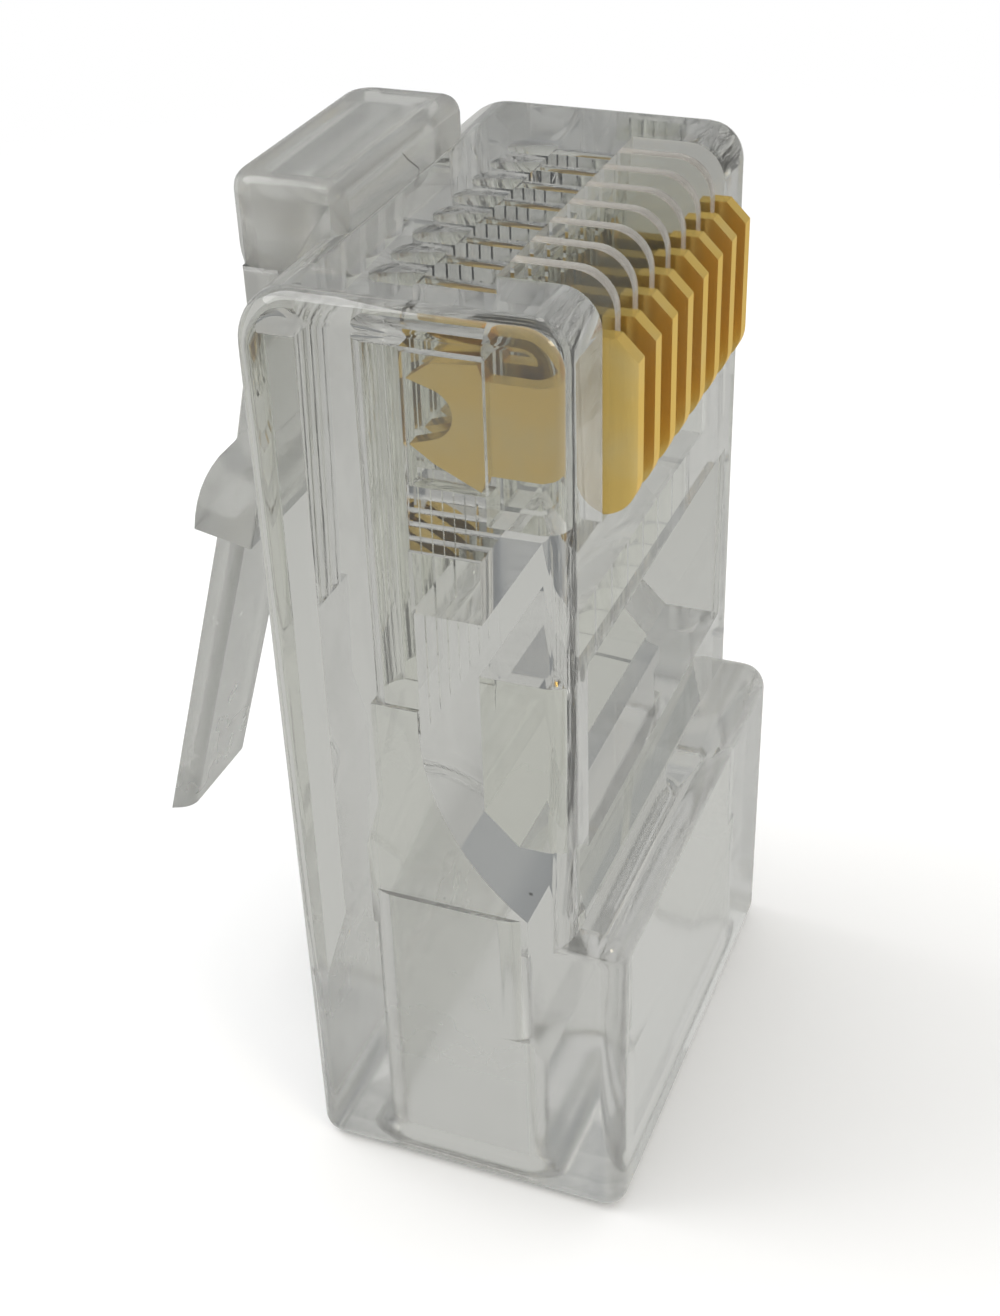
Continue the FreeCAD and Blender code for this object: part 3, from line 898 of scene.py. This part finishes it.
def floor_glow_level(tree, path, place):
    """How bright the floor's painted glow shows in the plastic and the gold: brighter near the plug and
    darker far off, with a painted pool of light to the right.
    """
    shade = faded(tree, place, FLOOR_CENTRE, (FLOOR_INNER, FLOOR_OUTER), (FLOOR_NEAR, FLOOR_FAR))
    glow = faded(tree, place, GLOW_CENTRE, (GLOW_INNER, GLOW_OUTER), (GLOW_MORE, 0.0))
    return add_outer(tree, path, paired(tree, "ADD", shade, glow))


def floor_material():
    """Pale floor: white with a shadow to the camera, and a painted glow of pale grey in plastic and gold in
    place of the lit floor.
    """
    material, tree, output = new_material("pale_floor")
    path, inside = shown_inside(tree)
    camera = path.outputs["Is Camera Ray"]
    place = add_node(tree, "ShaderNodeNewGeometry").outputs["Position"]
    tone = add_node(tree, "ShaderNodeMix", data_type="RGBA")
    tone.inputs["A"].default_value = full(colours().floor)
    tone.inputs["B"].default_value = full(colours().floor_seen)
    matt = add_node(tree, "ShaderNodeBsdfDiffuse")
    tree.links.new(camera, tone.inputs["Factor"])
    tree.links.new(tone.outputs["Result"], matt.inputs["Color"])
    shown = add_node(tree, "ShaderNodeEmission")
    shown.inputs["Color"].default_value = full(colours().floor)
    tree.links.new(floor_glow_level(tree, path, place), shown.inputs["Strength"])
    mixed = mixed_shader(tree, inside, matt.outputs[0], shown.outputs[0])
    far = faded(tree, place, FLOOR_CENTRE, (SEEN_INNER, SEEN_OUTER), (0.0, 1.0))
    clear = add_node(tree, "ShaderNodeBsdfTransparent").outputs[0]
    ends = mixed_shader(tree, paired(tree, "MULTIPLY", far, camera), mixed, clear)
    tree.links.new(ends, output.inputs["Surface"])
    return material


def make_floor():
    """Round pale floor under the plug."""
    mesh = bmesh.new()
    bmesh.ops.create_circle(mesh, cap_ends=True, segments=FLOOR_SEGMENTS, radius=sizes().floor_radius)
    floor = as_piece(mesh, "floor", [floor_material()])


def studio_light(tree):
    """Tint and brightness of the surroundings by direction."""
    place = add_node(tree, "ShaderNodeTexCoord")
    level = add_node(tree, "ShaderNodeValue").outputs[0]
    level.default_value = STUDIO_LEVEL
    for side, begin, end, change in STUDIO_PARTS:
        facing = add_node(tree, "ShaderNodeVectorMath", operation="DOT_PRODUCT")
        facing.inputs[1].default_value = side
        tree.links.new(place.outputs["Generated"], facing.inputs[0])
        part = add_node(tree, "ShaderNodeMapRange", interpolation_type="SMOOTHSTEP")
        part.inputs["From Min"].default_value = begin
        part.inputs["From Max"].default_value = end
        part.inputs["To Max"].default_value = change
        tree.links.new(facing.outputs["Value"], part.inputs["Value"])
        level = paired(tree, "ADD", part.outputs["Result"], level)
    warmth = add_node(tree, "ShaderNodeMapRange")
    warmth.inputs["From Min"].default_value = TINT_RANGE[0]
    warmth.inputs["From Max"].default_value = TINT_RANGE[1]
    tint = add_node(tree, "ShaderNodeMix", data_type="RGBA")
    tint.inputs["A"].default_value = full(colours().studio_cool)
    tint.inputs["B"].default_value = full(colours().studio_warm)
    tree.links.new(level, warmth.inputs["Value"])
    tree.links.new(warmth.outputs["Result"], tint.inputs["Factor"])
    return tint.outputs["Result"], level


def make_world():
    """Even studio light, white to the camera and pale grey in the plastic and the gold."""
    world = bpy.data.worlds.new("studio")
    bpy.context.scene.world = world
    world.use_nodes = True
    tree = world.node_tree
    tree.nodes.clear()
    output = add_node(tree, "ShaderNodeOutputWorld")
    path, inside = shown_inside(tree)
    lit = add_node(tree, "ShaderNodeBackground", Strength=LIT_LEVEL)
    lit.inputs["Color"].default_value = full(WHITE)
    shown = add_node(tree, "ShaderNodeBackground")
    tint, level = studio_light(tree)
    tree.links.new(tint, shown.inputs["Color"])
    tree.links.new(level, shown.inputs["Strength"])
    seen = add_node(tree, "ShaderNodeBackground", Strength=1.0)
    seen.inputs["Color"].default_value = full(WHITE)
    around = mixed_shader(tree, inside, lit.outputs[0], shown.outputs[0])
    ends = mixed_shader(tree, path.outputs["Is Camera Ray"], around, seen.outputs[0])
    tree.links.new(ends, output.inputs["Surface"])


def make_lamp(name, place, size, power, colour):
    """Square soft lamp that points at the plug."""
    data = bpy.data.lights.new(name, "AREA")
    data.size = size
    data.energy = power
    data.color = colour
    lamp = bpy.data.objects.new(name, data)
    bpy.context.scene.collection.objects.link(lamp)
    middle = (CAD_BOX[0] + CAD_BOX[1]) / 2
    lamp.location = middle + Vector(place)
    lamp.rotation_mode = "QUATERNION"
    lamp.rotation_quaternion = Vector(place).to_track_quat("Z", "Y")
    lamp.visible_camera = False
    lamp.visible_transmission = False


class PLUG_OT_stage(bpy.types.Operator):
    """Set up the pale floor, the studio light and the camera"""

    bl_idname = "plug.stage"
    bl_label = "Stage"

    def execute(self, context):
        make_floor()
        make_world()
        for lamp in LAMPS:
            make_lamp(*lamp)
        make_camera()
        return {"FINISHED"}


OPERATORS = (PLUG_OT_housing, PLUG_OT_latch, PLUG_OT_contacts, PLUG_OT_stage)


class PLUG_PT_panel(bpy.types.Panel):
    """Sidebar panel with the plug's steps"""

    bl_label = "Clear Modular Plug"
    bl_idname = "PLUG_PT_panel"
    bl_space_type = "VIEW_3D"
    bl_region_type = "UI"
    bl_category = "Plug"

    def draw(self, context):
        for operator in OPERATORS:
            self.layout.operator(operator.bl_idname)
        for group in (context.scene.plug_sizes, context.scene.plug_colours):
            for name in group.bl_rna.properties.keys():
                if name not in ("rna_type", "name"):
                    self.layout.prop(group, name)


CLASSES = (PlugSizes, PlugColours, *OPERATORS, PLUG_PT_panel)


def register():
    """Add the classes and the scene's settings."""
    for item in CLASSES:
        bpy.utils.register_class(item)
    bpy.types.Scene.plug_sizes = bpy.props.PointerProperty(type=PlugSizes)
    bpy.types.Scene.plug_colours = bpy.props.PointerProperty(type=PlugColours)


def unregister():
    """Take the classes and settings away."""
    del bpy.types.Scene.plug_colours
    del bpy.types.Scene.plug_sizes
    for item in reversed(CLASSES):
        bpy.utils.unregister_class(item)


def main():
    """Build the whole scene."""
    register()
    bpy.context.scene.view_settings.view_transform = "Standard"
    bpy.context.scene.cycles.max_bounces = LIGHT_BOUNCES
    bpy.context.scene.cycles.glossy_bounces = LIGHT_BOUNCES
    bpy.context.scene.cycles.transmission_bounces = LIGHT_BOUNCES
    bpy.ops.plug.housing()
    bpy.ops.plug.latch()
    bpy.ops.plug.contacts()
    bpy.ops.plug.stage()


if __name__ == "__main__":
    main()
